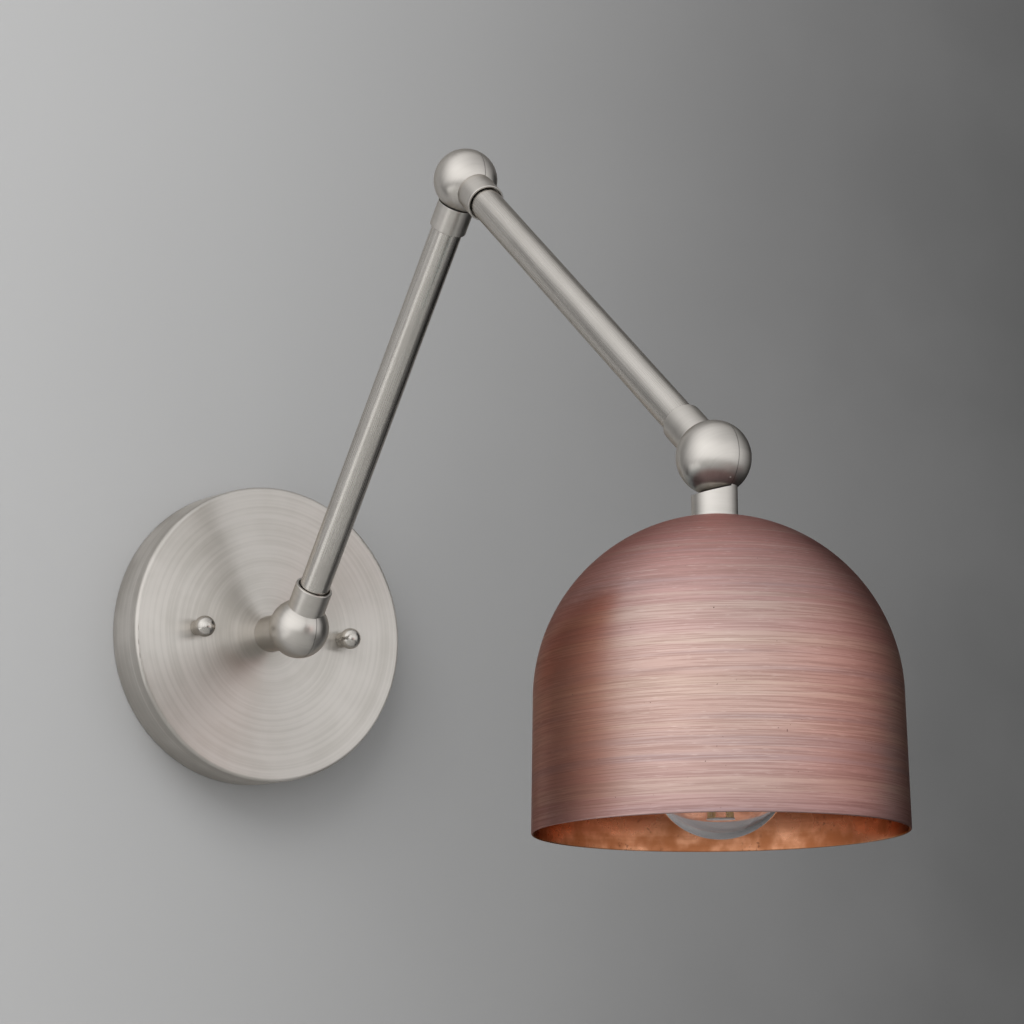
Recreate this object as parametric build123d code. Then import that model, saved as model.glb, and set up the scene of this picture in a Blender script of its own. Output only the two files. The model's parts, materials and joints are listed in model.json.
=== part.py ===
from build123d import *
from math import asin, cos, pi, radians, sin, sqrt, tan
import os

# Adjustable wall lamp: a round wall canopy, two tubular arms joined by ball swivels, and a spun copper shade.
# Millimetres. +Z is up, the wall is the plane y = 0, and the lamp stands out from it along -Y.
# The origin is the centre of the canopy's back, on the wall.

# Fits
thread_fit = 0.05
running_fit = 0.05
face_play = 0.05
wire_fit = 0.1

# Share of a wall's thickness that a rounded edge may take
edge_share = 0.45

# Photographed pose, degrees: arm 1 above level, arm 2 below level, shade leaning outward from plumb
lower_arm_raise = 51.5
upper_arm_drop = 37.4
shade_lean = 2.9

# Canopy and its mounting hardware
canopy_d = 127.0
canopy_depth = 22.2
canopy_wall = 1.0
canopy_edge_r = 1.6
stud_spacing = 69.85
stud_d = 4.16
stud_hole_play = 0.3
stud_grip = 7.6
ball_nut_d = 9.0
ball_nut_stand = 7.5
ball_nut_neck_d = 6.6
ball_nut_tip = 1.4
crossbar_len = 110.0
crossbar_width = 19.0
crossbar_t = 1.6
crossbar_corner_r = 3.0
box_screw_spacing = 88.9
box_slot_width = 4.6
box_slot_len = 10.0
stud_nut_flats = 8.7
stud_nut_t = 3.2
ground_screw_d = 4.8
ground_screw_x = 17.5
ground_head_d = 9.2
ground_head_t = 3.0
screw_slot_w = 1.0
screw_slot_depth = 0.9

# Threaded lamp pipe, its nuts and washers
pipe_d = 10.2
pipe_bore_d = 7.4
pipe_hole_play = 0.3
pipe_nut_flats = 14.3
pipe_nut_t = 4.0
pipe_nut_tail = 3.0
lock_washer_d = 17.6
lock_washer_t = 1.0
washer_split = 1.2
stem_pipe_grip = 9.0

# Ball swivels
ball_d = 25.4
head_ball_d = 26.7
seam_x = 1.75
seam_gap = 0.2
neck_gap = 0.45
lip_r = 0.4
chamber_r = 8.0
body_wall = 4.5
cap_floor = 2.0
boss_r = 3.2
pivot_d = 4.1
pivot_grip = 7.0
pivot_head_d = 7.6
pivot_head_t = 2.0
pivot_recess_d = 9.2
pivot_recess_depth = 3.4
spring_washer_d = 8.4
spring_washer_t = 0.8
friction_washer_d = 11.0
friction_washer_t = 0.8

# Collars and necks, lengths from the ball's centre
stem_d = 15.6
stem_len = 26.5
base_collar_d = 15.9
base_collar_len = 20.8
elbow_low_collar_d = 15.0
elbow_low_collar_len = 21.8
elbow_high_collar_d = 15.3
elbow_high_collar_len = 20.7
head_collar_d = 15.3
head_collar_len = 25.2
head_neck_d = 16.3
head_neck_len = 21.8
head_neck_slope = 15.0
cup_d = 13.9
cup_depth = 3.4

# Arm tubes and what runs in them
tube_d = 12.7
lower_tube_len = 177.8
upper_tube_len = 184.6
pipe_end_gap = 0.4
nipple_reach = 9.0
lead_d = 2.6

# Shade, lengths along its axis
dome_r = 64.3
rim_r = 65.3
shade_height = 110.0
shade_wall = 0.9
shade_seat_r = 9.0
shade_rim_fillet = 0.35
shade_washer_d = 17.4
shade_washer_t = 1.0

# Lamp socket
socket_cap_d = 36.0
socket_cap_wall = 0.8
socket_cap_height = 16.0
socket_cap_round = 4.0
socket_hub_d = 13.6
socket_hub_len = 5.0
shade_pipe_tail = 2.0
socket_body_drop = 6.4
socket_fit = 0.1
socket_floor_t = 19.7
socket_bore_depth = 27.0
shell_wall = 0.5
contact_d = 8.0
contact_t = 0.8
contact_rivet_d = 3.0
contact_rivet_len = 4.0
terminal_x = 10.4
terminal_d = 3.4
terminal_len = 6.0
terminal_head_d = 6.0
terminal_head_t = 2.0

# Bulb, a clear round lamp with a medium screw base
bulb_base_r = 13.0
thread_depth = 0.7
thread_pitch = 3.62
thread_turns = 5
base_fit = 0.2
base_wall = 0.3
bulb_lift = 0.4
tip_r = 4.6
tip_t = 1.2
insulator_t = 2.4
base_collar_t = 5.0
globe_r = 25.0
globe_wall = 0.7
bulb_len = 79.0
bulb_neck_fit = 0.1
bulb_neck_sink = 3.0
stem_flare_r = 8.0
stem_flare_len = 7.0
stem_r = 2.8
stem_reach = 17.0
filament_r = 0.8
filament_len = 31.3
filament_count = 4
filament_top_r = 2.4
filament_end_r = 4.6
filament_fit = 0.1
support_ring_r = 0.35


# Plain shapes about the Z or the X axis
def rod(radius, start, end):
    return Pos(0, 0, (start + end) / 2) * Cylinder(radius, abs(end - start))


def rod_x(radius, start, end):
    return Pos((start + end) / 2, 0, 0) * Rot(0, 90, 0) * Cylinder(radius, abs(end - start))


def tube(outer, inner, start, end):
    return rod(outer, start, end) - rod(inner, start, end)


def split_washer(outer_d, inner_d, thickness):
    ring = tube(outer_d / 2, inner_d / 2, 0, thickness)
    return ring - Pos(outer_d / 2, 0, thickness / 2) * Box(outer_d, washer_split, thickness)


def hex_nut(flats, bore_d, thickness):
    hexagon = RegularPolygon(flats / 2, 6, major_radius=False)
    return extrude(hexagon, thickness) - rod(bore_d / 2, 0, thickness)


def turned(outline):
    return revolve(Plane.XZ * make_face(outline), Axis.Z)


# Places: a frame at a point whose +Z runs at an angle above level, outward from the wall, and whose X stays X
def aim(point, angle):
    return Location(point, (90 - angle, 0, 0))


def beyond(point, angle, distance):
    rise = radians(angle)
    return (0, point[1] - distance * cos(rise), point[2] + distance * sin(rise))


pipe_r = pipe_d / 2
pipe_bore_r = pipe_bore_d / 2
pipe_thread_r = pipe_r + thread_fit
pipe_hole_r = pipe_r + pipe_hole_play
ball_r = ball_d / 2
head_ball_r = head_ball_d / 2
base_seat = base_collar_len - cup_depth
elbow_low_seat = elbow_low_collar_len - cup_depth
elbow_high_seat = elbow_high_collar_len - cup_depth
head_seat = head_collar_len - cup_depth
lower_arm_len = base_seat + lower_tube_len + elbow_low_seat
upper_arm_len = elbow_high_seat + upper_tube_len + head_seat
upper_arm_angle = -upper_arm_drop
shade_angle = shade_lean - 90
base_ball = (0, -(canopy_depth + stem_len), 0)
elbow_ball = beyond(base_ball, lower_arm_raise, lower_arm_len)
head_ball = beyond(elbow_ball, upper_arm_angle, upper_arm_len)
wall_frame = aim((0, 0, 0), 0)
base_stem_frame = aim(base_ball, 180)
lower_arm_frame = aim(base_ball, lower_arm_raise)
elbow_low_frame = aim(elbow_ball, lower_arm_raise + 180)
upper_arm_frame = aim(elbow_ball, upper_arm_angle)
head_collar_frame = aim(head_ball, upper_arm_angle + 180)
shade_frame = aim(head_ball, shade_angle)
stud_places = [(side * stud_spacing / 2, 0) for side in (-1, 1)]
lead_x = pipe_bore_r - wire_fit - lead_d / 2
ball_pipe_z = ball_r + neck_gap + pipe_end_gap
head_pipe_z = head_ball_r + neck_gap + pipe_end_gap

parts = {}


# Wall canopy: a shallow spun cup with its open back on the wall
def make_canopy():
    cup = rod(canopy_d / 2, 0, canopy_depth)
    cup = fillet(cup.edges().group_by(Axis.Z)[-1], canopy_edge_r)
    hollow = rod(canopy_d / 2 - canopy_wall, 0, canopy_depth - canopy_wall)
    hollow_edge_r = max(canopy_edge_r - canopy_wall, edge_share * canopy_wall)
    hollow = fillet(hollow.edges().group_by(Axis.Z)[-1], hollow_edge_r)
    holes = rod(pipe_hole_r, 0, canopy_depth)
    for x, y in stud_places:
        holes += Pos(x, y, 0) * rod(stud_d / 2 + stud_hole_play, 0, canopy_depth)
    return cup - hollow - holes


# Flat steel bar that screws to the wall box and carries the canopy's two studs
def make_crossbar():
    plate = extrude(RectangleRounded(crossbar_len, crossbar_width, crossbar_corner_r), crossbar_t)
    plate -= rod(pipe_hole_r, 0, crossbar_t)
    plate -= Pos(ground_screw_x, 0, 0) * rod(ground_screw_d / 2 + thread_fit, 0, crossbar_t)
    for x, y in stud_places:
        plate -= Pos(x, y, 0) * rod(stud_d / 2 + thread_fit, 0, crossbar_t)
    for side in (-1, 1):
        slot = SlotOverall(box_slot_len, box_slot_width)
        plate -= extrude(Pos(side * box_screw_spacing / 2, 0, 0) * slot, crossbar_t)
    return plate


# Ball-shaped cap nut, blind-tapped for the stud
def make_ball_nut():
    nut = Pos(0, 0, ball_nut_stand) * Sphere(ball_nut_d / 2)
    nut += rod(ball_nut_neck_d / 2, 0, ball_nut_stand)
    return nut - rod(stud_d / 2 + thread_fit, 0, stud_grip)


def make_ground_screw():
    screw = rod(ground_screw_d / 2, 0, crossbar_t)
    screw += rod(ground_head_d / 2, crossbar_t, crossbar_t + ground_head_t)
    slot = Box(ground_head_d, screw_slot_w, screw_slot_depth)
    return screw - Pos(0, 0, crossbar_t + ground_head_t - screw_slot_depth / 2) * slot


stud_end = canopy_depth + stud_grip - ball_nut_tip
lock_washer_z = canopy_depth - canopy_wall - lock_washer_t
pipe_nut_z = lock_washer_z - pipe_nut_t
stud = rod(stud_d / 2, 0, stud_end)
stud_nut = hex_nut(stud_nut_flats, stud_d + 2 * thread_fit, stud_nut_t)
ball_nut = make_ball_nut()


def at_studs(piece, z):
    return Compound([wall_frame * Pos(x, y, z) * piece for x, y in stud_places])


parts["canopy"] = wall_frame * make_canopy()
parts["mounting_crossbar"] = wall_frame * make_crossbar()
parts["crossbar_studs"] = at_studs(stud, 0)
parts["stud_lock_nuts"] = at_studs(stud_nut, crossbar_t)
parts["canopy_ball_nuts"] = at_studs(ball_nut, canopy_depth)
parts["ground_screw"] = wall_frame * Pos(ground_screw_x, 0, 0) * make_ground_screw()
canopy_pipe = tube(pipe_r, pipe_bore_r, pipe_nut_z - pipe_nut_tail, canopy_depth + stem_pipe_grip)
parts["canopy_nipple"] = wall_frame * canopy_pipe
canopy_washer = split_washer(lock_washer_d, 2 * pipe_hole_r, lock_washer_t)
parts["canopy_lock_washer"] = wall_frame * Pos(0, 0, lock_washer_z) * canopy_washer
pipe_nut = hex_nut(pipe_nut_flats, 2 * pipe_thread_r, pipe_nut_t)
parts["canopy_hex_nut"] = wall_frame * Pos(0, 0, pipe_nut_z) * pipe_nut

# Ball swivels. The pivot lies along X. The body is the larger half-ball, on the -X side of the seam, and the
# cap the smaller one. Each half has a neck on +Z, and where a neck reaches past the seam it is cut back to a
# sphere that clears the other half.
cap_face_x = seam_x + seam_gap / 2
body_face_x = seam_x - seam_gap / 2
friction_washer_x = cap_face_x - face_play - friction_washer_t


def half_ball(radius, neck_d, neck_len, side, face_x):
    reach = neck_len + radius
    half_space = Pos(face_x + side * reach, 0, 0) * Box(2 * reach, 4 * reach, 4 * reach)
    neck = rod(neck_d / 2, 0, neck_len)
    neck = fillet(neck.edges().group_by(Axis.Z)[-1], lip_r)
    half = (Sphere(radius) + neck) & half_space
    return half + (neck - Sphere(radius + neck_gap))


def make_body(radius, neck_d, neck_len, seat):
    half = half_ball(radius, neck_d, neck_len, -1, body_face_x)
    end_x = body_wall - radius
    half -= rod_x(chamber_r, end_x, body_face_x) - rod_x(boss_r, end_x, friction_washer_x)
    half -= rod_x(pivot_d / 2 + thread_fit, friction_washer_x - pivot_grip, friction_washer_x)
    half -= rod(pipe_thread_r, (boss_r + chamber_r) / 2, seat)
    return half - rod(cup_d / 2, seat, neck_len)


def make_cap(radius, neck_d, neck_len, seat):
    half = half_ball(radius, neck_d, neck_len, 1, cap_face_x)
    recess_x = radius - pivot_recess_depth
    half -= rod_x(chamber_r, cap_face_x, recess_x - cap_floor) - rod_x(boss_r, cap_face_x, recess_x)
    half -= rod_x(pivot_d / 2 + running_fit, cap_face_x, radius)
    half -= rod_x(pivot_recess_d / 2, recess_x, radius)
    half -= rod(pipe_thread_r, (boss_r + chamber_r) / 2, seat)
    if seat < neck_len:
        half -= rod(cup_d / 2, seat, neck_len)
    return half


# The head neck's shoulder slopes down away from the seam, so that the ball's body swings clear of it
def slope_cut(radius, neck_d):
    edge_z = sqrt((radius + neck_gap) ** 2 - (neck_d / 2) ** 2)
    far_x = -neck_d
    far_z = edge_z + (cap_face_x - far_x) * tan(radians(head_neck_slope))
    wedge = Polyline((cap_face_x, 0), (cap_face_x, edge_z), (far_x, far_z), (far_x, 0), close=True)
    return extrude(Plane.XZ * make_face(wedge), neck_d, both=True)


def make_pivot_screw(radius):
    under_head = radius - pivot_recess_depth + face_play + spring_washer_t
    top = under_head + pivot_head_t
    screw = rod_x(pivot_d / 2, friction_washer_x - pivot_grip, under_head)
    screw += rod_x(pivot_head_d / 2, under_head, top)
    return screw - Pos(top - screw_slot_depth / 2, 0, 0) * Box(screw_slot_depth, screw_slot_w, pivot_head_d)


def make_spring_washer(radius):
    washer = split_washer(spring_washer_d, pivot_d + 2 * running_fit, spring_washer_t)
    return Pos(radius - pivot_recess_depth + face_play, 0, 0) * Rot(0, 90, 0) * washer


def make_friction_washer():
    end_x = friction_washer_x + friction_washer_t
    disc = rod_x(friction_washer_d / 2, friction_washer_x, end_x)
    return disc - rod_x(pivot_d / 2 + running_fit, friction_washer_x, end_x)


def add_pivot(name, place, radius):
    parts[name + "_pivot_screw"] = place * make_pivot_screw(radius)
    parts[name + "_spring_washer"] = place * make_spring_washer(radius)
    parts[name + "_friction_washer"] = place * make_friction_washer()


parts["base_swivel_cap"] = base_stem_frame * make_cap(ball_r, stem_d, stem_len, stem_len)
parts["base_swivel_body"] = lower_arm_frame * make_body(ball_r, base_collar_d, base_collar_len, base_seat)
add_pivot("base", lower_arm_frame, ball_r)
elbow_cap = make_cap(ball_r, elbow_low_collar_d, elbow_low_collar_len, elbow_low_seat)
parts["elbow_swivel_cap"] = elbow_low_frame * elbow_cap
elbow_body = make_body(ball_r, elbow_high_collar_d, elbow_high_collar_len, elbow_high_seat)
parts["elbow_swivel_body"] = upper_arm_frame * elbow_body
add_pivot("elbow", upper_arm_frame, ball_r)
head_body = make_body(head_ball_r, head_collar_d, head_collar_len, head_seat)
parts["head_swivel_body"] = head_collar_frame * head_body
add_pivot("head", head_collar_frame, head_ball_r)
head_cap = make_cap(head_ball_r, head_neck_d, head_neck_len, head_neck_len)
parts["head_swivel_cap"] = shade_frame * (head_cap - slope_cut(head_ball_r, head_neck_d))


# Arm tubes, each tapped onto a nipple at both ends, with two insulated leads inside
def lead_pair(start, end):
    return [Pos(side * lead_x, 0, 0) * rod(lead_d / 2, start, end) for side in (-1, 1)]


def add_arm(name, place, seat, tube_len, start_z, end_z):
    far_seat = seat + tube_len
    near_nipple = tube(pipe_r, pipe_bore_r, start_z, seat + nipple_reach)
    far_nipple = tube(pipe_r, pipe_bore_r, far_seat - nipple_reach, end_z)
    parts[name + "_tube"] = place * tube(tube_d / 2, pipe_thread_r, seat, far_seat)
    parts[name + "_nipples"] = Compound([place * near_nipple, place * far_nipple])
    parts[name + "_leads"] = Compound([place * lead for lead in lead_pair(start_z, end_z)])


lower_pipe_end_z = lower_arm_len - ball_pipe_z
upper_pipe_end_z = upper_arm_len - head_pipe_z
add_arm("lower_arm", lower_arm_frame, base_seat, lower_tube_len, ball_pipe_z, lower_pipe_end_z)
add_arm("upper_arm", upper_arm_frame, elbow_high_seat, upper_tube_len, ball_pipe_z, upper_pipe_end_z)

# Shade: a round dome with a flat seat under the neck, and a slightly flared skirt
seat_z = head_neck_len
rim_z = seat_z + shade_height
dome_drop = sqrt(dome_r**2 - shade_seat_r**2)
dome_z = seat_z + dome_drop


def dome_arc(radius, seat_r, to_rim):
    seat_angle = asin(seat_r / radius)
    middle = (seat_angle + pi / 2) / 2
    seat = (seat_r, dome_z - radius * cos(seat_angle))
    crown = (radius * sin(middle), dome_z - radius * cos(middle))
    side = (radius, dome_z)
    return ThreePointArc(seat, crown, side) if to_rim else ThreePointArc(side, crown, seat)


def make_shade():
    inner_r = dome_r - shade_wall
    inner_seat_r = sqrt(inner_r**2 - (dome_drop - shade_wall) ** 2)
    outline = [
        Line((pipe_hole_r, seat_z), (shade_seat_r, seat_z)),
        dome_arc(dome_r, shade_seat_r, True),
        Line((dome_r, dome_z), (rim_r, rim_z)),
        Line((rim_r, rim_z), (rim_r - shade_wall, rim_z)),
        Line((rim_r - shade_wall, rim_z), (inner_r, dome_z)),
        dome_arc(inner_r, inner_seat_r, False),
        Line((inner_seat_r, seat_z + shade_wall), (pipe_hole_r, seat_z + shade_wall)),
        Line((pipe_hole_r, seat_z + shade_wall), (pipe_hole_r, seat_z)),
    ]
    bell = turned(outline)
    rim_edges = bell.edges().filter_by(GeomType.CIRCLE).group_by(Axis.Z)[-1]
    return fillet(rim_edges, min(shade_rim_fillet, edge_share * shade_wall))


shade_washer_z = seat_z + shade_wall
shade_nut_z = shade_washer_z + shade_washer_t
cap_top_z = shade_nut_z + pipe_nut_t
hub_end_z = cap_top_z + socket_hub_len
shade_washer = tube(shade_washer_d / 2, pipe_hole_r, shade_washer_z, shade_nut_z)
parts["shade"] = shade_frame * make_shade()
parts["shade_nipple"] = shade_frame * tube(pipe_r, pipe_bore_r, head_pipe_z, hub_end_z - shade_pipe_tail)
parts["shade_washer"] = shade_frame * shade_washer
parts["shade_hex_nut"] = shade_frame * Pos(0, 0, shade_nut_z) * pipe_nut
socket_leads = lead_pair(head_pipe_z, hub_end_z)
parts["socket_leads"] = Compound([shade_frame * lead for lead in socket_leads])

# Lamp socket: a metal cap on the shade's nipple, and an insulating body with the screw shell and the contact
socket_r = socket_cap_d / 2
body_r = socket_r - socket_cap_wall - socket_fit
body_top_z = cap_top_z + socket_body_drop
bore_z = body_top_z + socket_floor_t
body_end_z = bore_z + socket_bore_depth
contact_z = bore_z + contact_t
shell_r = bulb_base_r + base_fit + shell_wall


def make_socket_cap():
    cap_end_z = cap_top_z + socket_cap_height
    cup = rod(socket_r, cap_top_z, cap_end_z)
    cup = fillet(cup.edges().group_by(Axis.Z)[0], socket_cap_round)
    hollow = rod(socket_r - socket_cap_wall, cap_top_z + socket_cap_wall, cap_end_z)
    hollow = fillet(hollow.edges().group_by(Axis.Z)[0], socket_cap_round - socket_cap_wall)
    hub = rod(socket_hub_d / 2, cap_top_z, hub_end_z)
    return cup - hollow + hub - rod(pipe_thread_r, cap_top_z, hub_end_z)


def make_socket_body():
    body = rod(body_r, body_top_z, body_end_z)
    body -= rod(shell_r + socket_fit, bore_z, body_end_z)
    body -= rod(contact_rivet_d / 2 + socket_fit, bore_z - contact_rivet_len, bore_z)
    for side in (-1, 1):
        hole = rod(terminal_d / 2 + thread_fit, body_top_z, body_top_z + terminal_len)
        body -= Pos(side * terminal_x, 0, 0) * hole
    return body


def make_terminal_screw():
    screw = rod(terminal_d / 2, body_top_z, body_top_z + terminal_len)
    screw += rod(terminal_head_d / 2, body_top_z - terminal_head_t, body_top_z)
    slot = Box(terminal_head_d, screw_slot_w, screw_slot_depth)
    return screw - Pos(0, 0, body_top_z - terminal_head_t + screw_slot_depth / 2) * slot


# A rolled thread as a wavy wall: one arc out and one arc in for each turn
def thread_wall(crest_r, start):
    arcs = []
    root_r = crest_r - thread_depth
    half = thread_pitch / 2
    for turn in range(thread_turns):
        low = start + turn * thread_pitch
        arcs.append(ThreePointArc((root_r, low), (crest_r, low + half), (root_r, low + 2 * half)))
    return arcs


def threaded_sleeve(crest_r, wall, start, plain_end):
    root_r = crest_r - thread_depth
    thread_end = start + thread_turns * thread_pitch
    outer = thread_wall(crest_r, start)
    outline = outer + [
        Line((root_r, thread_end), (crest_r, thread_end + thread_depth)),
        Line((crest_r, thread_end + thread_depth), (crest_r, plain_end)),
        Line((crest_r, plain_end), (root_r - wall, plain_end)),
        Line((root_r - wall, plain_end), (root_r - wall, start)),
        Line((root_r - wall, start), (root_r, start)),
    ]
    return turned(outline)


tip_z = contact_z + bulb_lift
insulator_z = tip_z + tip_t
base_z = insulator_z + insulator_t
base_end_z = base_z + thread_turns * thread_pitch + base_collar_t
shell = tube(shell_r, bulb_base_r + base_fit, bore_z, body_end_z)
contact = rod(contact_d / 2, bore_z, contact_z) + rod(contact_rivet_d / 2, bore_z - contact_rivet_len, bore_z)
terminal = make_terminal_screw()
parts["socket_cap"] = shade_frame * make_socket_cap()
parts["socket_body"] = shade_frame * make_socket_body()
parts["socket_screw_shell"] = shade_frame * shell
parts["socket_contact"] = shade_frame * contact
terminals = [shade_frame * Pos(side * terminal_x, 0, 0) * terminal for side in (-1, 1)]
parts["socket_terminal_screws"] = Compound(terminals)

# Bulb: a screw base, a clear globe, and inside it a glass stem that carries the filaments
bulb_end_z = tip_z + bulb_len
globe_z = bulb_end_z - globe_r
neck_top_z = base_end_z - bulb_neck_sink
bulb_neck_r = bulb_base_r - thread_depth - base_wall - bulb_neck_fit


def make_globe():
    inner_r = globe_r - globe_wall
    inner_neck_r = bulb_neck_r - globe_wall
    outer_z = globe_z - sqrt(globe_r**2 - bulb_neck_r**2)
    inner_z = globe_z - sqrt(inner_r**2 - inner_neck_r**2)
    outline = [
        Line((bulb_neck_r, neck_top_z), (bulb_neck_r, outer_z)),
        ThreePointArc((bulb_neck_r, outer_z), (globe_r, globe_z), (0, bulb_end_z)),
        Line((0, bulb_end_z), (0, bulb_end_z - globe_wall)),
        ThreePointArc((0, bulb_end_z - globe_wall), (inner_r, globe_z), (inner_neck_r, inner_z)),
        Line((inner_neck_r, inner_z), (inner_neck_r, neck_top_z)),
        Line((inner_neck_r, neck_top_z), (bulb_neck_r, neck_top_z)),
    ]
    return turned(outline)


stem_end_z = neck_top_z + stem_reach
filament_z = stem_end_z + filament_fit
filament_end_z = filament_z + filament_len


def make_stem():
    flare_z = neck_top_z + stem_flare_len
    outline = [
        Line((0, neck_top_z), (bulb_neck_r - globe_wall, neck_top_z)),
        Line((bulb_neck_r - globe_wall, neck_top_z), (stem_flare_r, neck_top_z + globe_wall)),
        Line((stem_flare_r, neck_top_z + globe_wall), (stem_r, flare_z)),
        Line((stem_r, flare_z), (stem_r, stem_end_z)),
        Line((stem_r, stem_end_z), (0, stem_end_z)),
        Line((0, stem_end_z), (0, neck_top_z)),
    ]
    return turned(outline)


def between(radius, start, end):
    path = Vector(*end) - Vector(*start)
    middle = (Vector(*start) + Vector(*end)) / 2
    return Plane(origin=middle, z_dir=path) * Cylinder(radius, path.length)


def filament_ends(turn):
    bearing = radians(turn)
    top = (filament_top_r * cos(bearing), filament_top_r * sin(bearing), filament_z)
    end = (filament_end_r * cos(bearing), filament_end_r * sin(bearing), filament_end_z)
    return top, end


bearings = [360 * n / filament_count for n in range(filament_count)]
parts["bulb_contact"] = shade_frame * rod(tip_r, tip_z, insulator_z)
insulator = Pos(0, 0, (insulator_z + base_z) / 2) * Cone(tip_r, bulb_base_r - thread_depth, insulator_t)
parts["bulb_insulator"] = shade_frame * insulator
parts["bulb_screw_base"] = shade_frame * threaded_sleeve(bulb_base_r, base_wall, base_z, base_end_z)
parts["bulb_glass"] = shade_frame * make_globe()
parts["bulb_stem"] = shade_frame * make_stem()
filaments = [between(filament_r, *filament_ends(turn)) for turn in bearings]
parts["bulb_filaments"] = Compound([shade_frame * filament for filament in filaments])
ring = Pos(0, 0, filament_end_z + filament_fit + support_ring_r) * Torus(filament_end_r, support_ring_r)
parts["bulb_support_wires"] = shade_frame * ring

os.makedirs("parts", exist_ok=True)
for node, shape in parts.items():
    export_step(shape, f"parts/{node}.step")
print("lower arm", round(lower_arm_len, 2), "upper arm", round(upper_arm_len, 2))
print("base ball", base_ball, "elbow ball", elbow_ball, "head ball", head_ball)
print("rim at", rim_z, "bulb end at", bulb_end_z, "nodes", len(parts))
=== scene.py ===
# %% [markdown]
# # Adjustable wall lamp
# A round canopy holds the lamp to the wall. Two tubular arms swing on ball swivels, and a spun copper
# shade hangs from the last ball. The measured parts are loaded first, in metres, and they stay where they
# are. The lesson then sets up the camera and the studio, makes the finishes, models the pieces that
# deserve a finer mesh, and dresses everything else.

# %% Load the measured lamp
import json
from math import acos, atan2, cos, degrees, pi, radians, sin, sqrt

import bpy
from mathutils import Matrix, Vector


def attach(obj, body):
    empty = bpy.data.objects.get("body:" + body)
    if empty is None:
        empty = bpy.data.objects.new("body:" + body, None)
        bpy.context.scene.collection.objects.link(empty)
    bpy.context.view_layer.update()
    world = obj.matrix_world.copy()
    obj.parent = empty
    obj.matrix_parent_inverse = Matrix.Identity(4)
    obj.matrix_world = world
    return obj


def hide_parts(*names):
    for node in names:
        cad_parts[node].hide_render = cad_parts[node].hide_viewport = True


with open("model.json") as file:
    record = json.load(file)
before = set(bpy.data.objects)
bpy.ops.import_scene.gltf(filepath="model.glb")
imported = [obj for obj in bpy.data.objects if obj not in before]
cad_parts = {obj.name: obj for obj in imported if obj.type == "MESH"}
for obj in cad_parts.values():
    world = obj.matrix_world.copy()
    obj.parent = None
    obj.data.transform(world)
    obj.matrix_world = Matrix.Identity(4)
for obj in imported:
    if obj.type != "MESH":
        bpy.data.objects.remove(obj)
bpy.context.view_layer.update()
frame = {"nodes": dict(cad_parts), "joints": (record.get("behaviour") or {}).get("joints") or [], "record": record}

nodes = frame["nodes"]
joint_places = {joint["name"]: Vector(joint["pos_m"]) for joint in frame["joints"]}
mm = 0.001
origin = Vector((0, 0, 0))

# %% [markdown]
# ## The camera
# A long lens stands to the left of the lamp and a little below it, and looks slightly upward, so the
# shade shows its open rim. The turn, rise and roll are three plain rotations, which are easier to read
# than a matrix of numbers.

# %% Camera
image_px = 1024
focal_px = 3598
sensor_mm = 36
camera_place = Vector((-0.69919, -1.39115, -0.17866))
camera_turn = radians(30.887)
camera_rise = radians(8.655)
camera_roll = radians(1.023)


def deselect_everything():
    bpy.ops.object.select_all(action="DESELECT")


deselect_everything()
bpy.ops.object.camera_add()
camera = bpy.context.object
camera.data.sensor_width = sensor_mm
camera.data.lens = focal_px / image_px * sensor_mm
aim = Matrix.Rotation(-camera_turn, 4, "Z") @ Matrix.Rotation(radians(90) + camera_rise, 4, "X")
camera.matrix_world = Matrix.Translation(camera_place) @ aim @ Matrix.Rotation(camera_roll, 4, "Z")
bpy.context.scene.camera = camera
bpy.context.scene.view_settings.view_transform = "Standard"
print("lens", round(camera.data.lens, 1), "mm")

# %% [markdown]
# ## Where things point
# The arms and the shade lie in one upright plane, so each direction is a single tilt about X. A local
# frame has its Z along the piece and its X level. A turned piece can then be modelled upright at the
# origin and laid in place.

# %% Directions from the joints
base_ball = joint_places["base_swivel"]
elbow_ball = joint_places["elbow_swivel"]
head_ball = joint_places["head_swivel"]
shade_lean = radians(2.9)


def tilt_of(direction):
    return atan2(-direction.y, direction.z)


wall_tilt = tilt_of(Vector((0, -1, 0)))
lower_arm_tilt = tilt_of(elbow_ball - base_ball)
upper_arm_tilt = tilt_of(head_ball - elbow_ball)
shade_tilt = tilt_of(Vector((0, -sin(shade_lean), -cos(shade_lean))))
print("tilts", [round(tilt, 3) for tilt in (wall_tilt, lower_arm_tilt, upper_arm_tilt, shade_tilt)])

# %% [markdown]
# ## Wiring a shader
# Every finish is a small net of shader nodes. These helpers add a node, set or link its sockets, and
# return the socket to go on with, so that each finish below reads from top to bottom like a recipe.

# %% Nodes and mixes
def add(tree, kind, **settings):
    made = tree.nodes.new("ShaderNode" + kind)
    for name, value in settings.items():
        setattr(made, name, value)
    return made


def feed(tree, socket, source):
    if isinstance(source, bpy.types.NodeSocket):
        tree.links.new(source, socket)
    else:
        socket.default_value = source


def maths(tree, operation, *values):
    made = add(tree, "Math", operation=operation)
    for socket, value in zip(made.inputs, values):
        feed(tree, socket, value)
    return made.outputs[0]


def spread(tree, value, low, high, to_low=0.0, to_high=1.0):
    made = add(tree, "MapRange", interpolation_type="SMOOTHSTEP")
    for socket, source in zip(made.inputs, (value, low, high, to_low, to_high)):
        feed(tree, socket, source)
    return made.outputs[0]


def blend(tree, amount, first, second, mode="MIX"):
    made = add(tree, "Mix", data_type="RGBA", blend_type=mode)
    for index, source in ((0, amount), (6, first), (7, second)):
        feed(tree, made.inputs[index], source)
    return made.outputs[2]


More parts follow.
